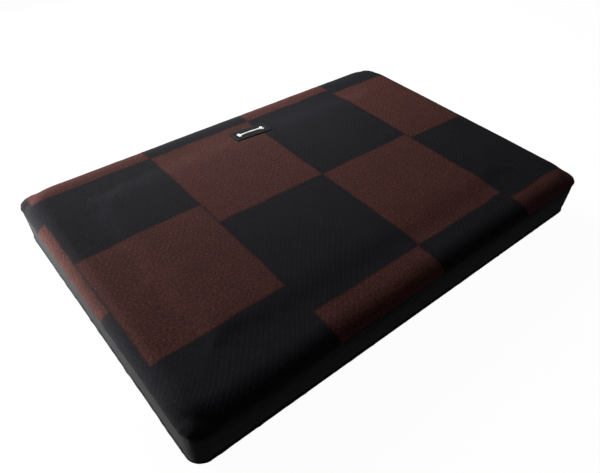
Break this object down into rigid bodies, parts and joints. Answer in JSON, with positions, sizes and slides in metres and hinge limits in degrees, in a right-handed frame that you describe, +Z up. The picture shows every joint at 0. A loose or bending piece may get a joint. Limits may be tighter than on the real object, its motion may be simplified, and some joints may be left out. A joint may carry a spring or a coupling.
{
  "type": "pet cushion bed",
  "caption": "Flat box-shaped pet cushion: foam and wadding in a fabric cover with a checked top panel, plain side band, sewn label and a zip along the back.",
  "frame": {"origin": "middle of the flat underside, at the centre of the bounding box in X and Y", "axes": "+Z up, +X along the long sides with the closed zip slider at the +X end, +Y towards the zip side"},
  "size_m": [0.6, 0.404, 0.065],
  "materials": {
    "checked_fabric": "matte",
    "band_fabric": "matte",
    "underside_fabric": "matte",
    "seam_thread": "matte",
    "label_weave": "satin",
    "motif_thread": "satin",
    "care_label_satin": "satin",
    "zip_tape": "matte",
    "zip_coil": "satin",
    "zip_stop_metal": "satin",
    "slider_metal": "satin",
    "tab_metal": "satin",
    "liner_nonwoven": "matte",
    "wadding_fibre": "matte",
    "foam": "matte"
  },
  "bodies": {
    "cushion": {"top_panel": "checked_fabric", "side_band": "band_fabric", "back_band_upper": "band_fabric", "back_band_lower": "band_fabric", "bottom_panel": "underside_fabric", "top_seam_thread": "seam_thread", "bottom_seam_thread": "seam_thread", "woven_label": "label_weave", "label_motif": "motif_thread", "label_stitching": "seam_thread", "care_label": "care_label_satin", "zip_tape_upper": "zip_tape", "zip_tape_lower": "zip_tape", "zip_coil_upper": "zip_coil", "zip_coil_lower": "zip_coil", "zip_stitching": "seam_thread", "zip_top_stop_upper": "zip_stop_metal", "zip_top_stop_lower": "zip_stop_metal", "zip_bottom_stop": "zip_stop_metal", "inner_liner_upper": "liner_nonwoven", "inner_liner_lower": "liner_nonwoven", "upper_wadding": "wadding_fibre", "foam_core": "foam", "lower_wadding": "wadding_fibre"},
    "zip_slider": {"zip_slider_body": "slider_metal"},
    "pull_tab": {"zip_pull_tab": "tab_metal"}
  },
  "joints": [
    {"name": "zip_slide", "type": "slide", "parent": "cushion", "child": "zip_slider", "axis": [-1, 0, 0], "range_m": [0, 0.512]},
    {"name": "tab_hinge", "type": "hinge", "parent": "zip_slider", "child": "pull_tab", "pos_m": [0.256, 0.19935, 0.0275], "axis": [0, 0, -1], "range_deg": [0, 170]}
  ]
}
